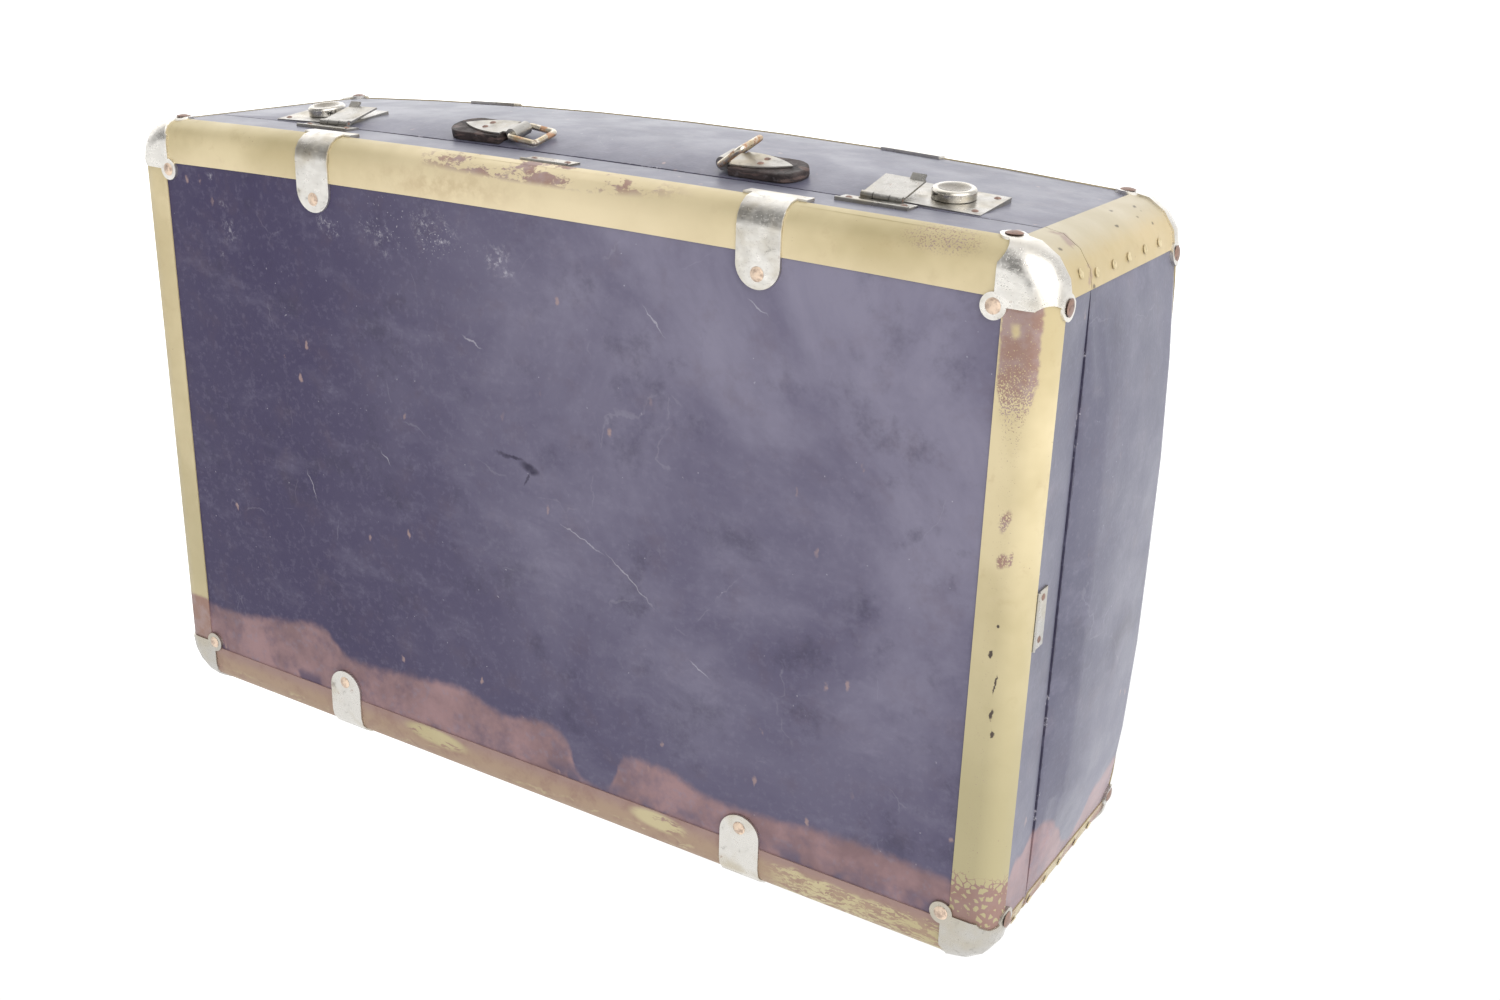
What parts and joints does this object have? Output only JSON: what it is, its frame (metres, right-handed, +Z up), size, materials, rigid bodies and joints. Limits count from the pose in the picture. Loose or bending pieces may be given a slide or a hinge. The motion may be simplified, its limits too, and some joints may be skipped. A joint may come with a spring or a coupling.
{
  "type": "vintage suitcase",
  "caption": "Upright fibre suitcase with gold edge binding, nickel corner caps and clips, hinged lid, hasp locks with sliding knobs and wire loops for a missing handle grip.",
  "frame": {"origin": "bottom of the standing case, in the middle of its width and depth", "axes": "+X right along the handle side, +Y from the lid to the back, +Z up to the handle side"},
  "size_m": [0.727, 0.2114, 0.4669],
  "materials": {
    "fibre": "worn slate blue vulcanised fibre",
    "gold_binding": "aged gold lacquer on fibre",
    "nickel": "dull nickel plate",
    "rusted_steel": "rusty",
    "pad_leather": "worn dark leather",
    "paper": "matte paper",
    "rim_wood": "bare"
  },
  "bodies": {
    "base": {"base_back_panel": "fibre", "base_wall_band": "fibre", "base_lining": "paper", "base_rim": "rim_wood", "base_trim_top": "gold_binding", "base_trim_bottom": "gold_binding", "base_trim_left": "gold_binding", "base_trim_right": "gold_binding", "base_corner_bands": "gold_binding", "base_corner_cap_top_left": "nickel", "base_corner_cap_top_right": "nickel", "base_corner_cap_bottom_left": "nickel", "base_corner_cap_bottom_right": "nickel", "base_edge_clip_top_left": "nickel", "base_edge_clip_top_right": "nickel", "base_edge_clip_bottom_left": "nickel", "base_edge_clip_bottom_right": "nickel", "base_rivets": "rusted_steel", "base_hinge_leaves": "nickel", "hinge_pins": "rusted_steel", "lock_plate_left": "nickel", "lock_plate_right": "nickel", "lock_case_left": "nickel", "lock_case_right": "nickel", "handle_pad_left": "pad_leather", "handle_pad_right": "pad_leather", "handle_cover_left": "nickel", "handle_cover_right": "nickel"},
    "lid": {"lid_front_panel": "fibre", "lid_wall_band": "fibre", "lid_lining": "paper", "lid_trim_top": "gold_binding", "lid_trim_bottom": "gold_binding", "lid_trim_left": "gold_binding", "lid_trim_right": "gold_binding", "lid_corner_bands": "gold_binding", "lid_corner_cap_top_left": "nickel", "lid_corner_cap_top_right": "nickel", "lid_corner_cap_bottom_left": "nickel", "lid_corner_cap_bottom_right": "nickel", "lid_edge_clip_top_left": "nickel", "lid_edge_clip_top_right": "nickel", "lid_edge_clip_bottom_left": "nickel", "lid_edge_clip_bottom_right": "nickel", "lid_rivets": "rusted_steel", "lid_wall_plates": "nickel", "lid_hinge_leaves": "nickel", "hasp_plate_left": "nickel", "hasp_plate_right": "nickel", "hasp_pins": "rusted_steel"},
    "hasp_left": {"hasp_left": "nickel"},
    "hasp_right": {"hasp_right": "nickel"},
    "lock_slider_left": {"lock_knob_left": "nickel", "lock_bolt_left": "nickel"},
    "lock_slider_right": {"lock_knob_right": "nickel", "lock_bolt_right": "nickel"},
    "handle_loop_left": {"handle_loop_left": "rusted_steel"},
    "handle_loop_right": {"handle_loop_right": "rusted_steel"}
  },
  "joints": [
    {"name": "lid_hinge", "type": "hinge", "parent": "base", "child": "lid", "pos_m": [0, -0.052, 0.0022], "axis": [1, 0, 0], "range_deg": [0, 110]},
    {"name": "hasp_left_hinge", "type": "hinge", "parent": "lid", "child": "hasp_left", "pos_m": [-0.20297, -0.05208, 0.44443], "axis": [0.9992, 0, 0.0392], "range_deg": [-9, 120]},
    {"name": "lock_left_slide", "type": "slide", "parent": "base", "child": "lock_slider_left", "axis": [-0.9992, 0, -0.0392], "range_m": [-0.0055, 0]},
    {"name": "handle_loop_left_swing", "type": "hinge", "parent": "base", "child": "handle_loop_left", "pos_m": [-0.05104, -0.03762, 0.45214], "axis": [0.0018, -0.9748, -0.2231], "range_deg": [0, 151]},
    {"name": "hasp_right_hinge", "type": "hinge", "parent": "lid", "child": "hasp_right", "pos_m": [0.22299, -0.05208, 0.44398], "axis": [0.9991, 0, -0.043], "range_deg": [-9, 120]},
    {"name": "lock_right_slide", "type": "slide", "parent": "base", "child": "lock_slider_right", "axis": [0.9991, 0, -0.043], "range_m": [-0.0055, 0]},
    {"name": "handle_loop_right_swing", "type": "hinge", "parent": "base", "child": "handle_loop_right", "pos_m": [0.11109, -0.03751, 0.45138], "axis": [-0.0036, -0.9793, -0.2023], "range_deg": [0, 151]}
  ]
}
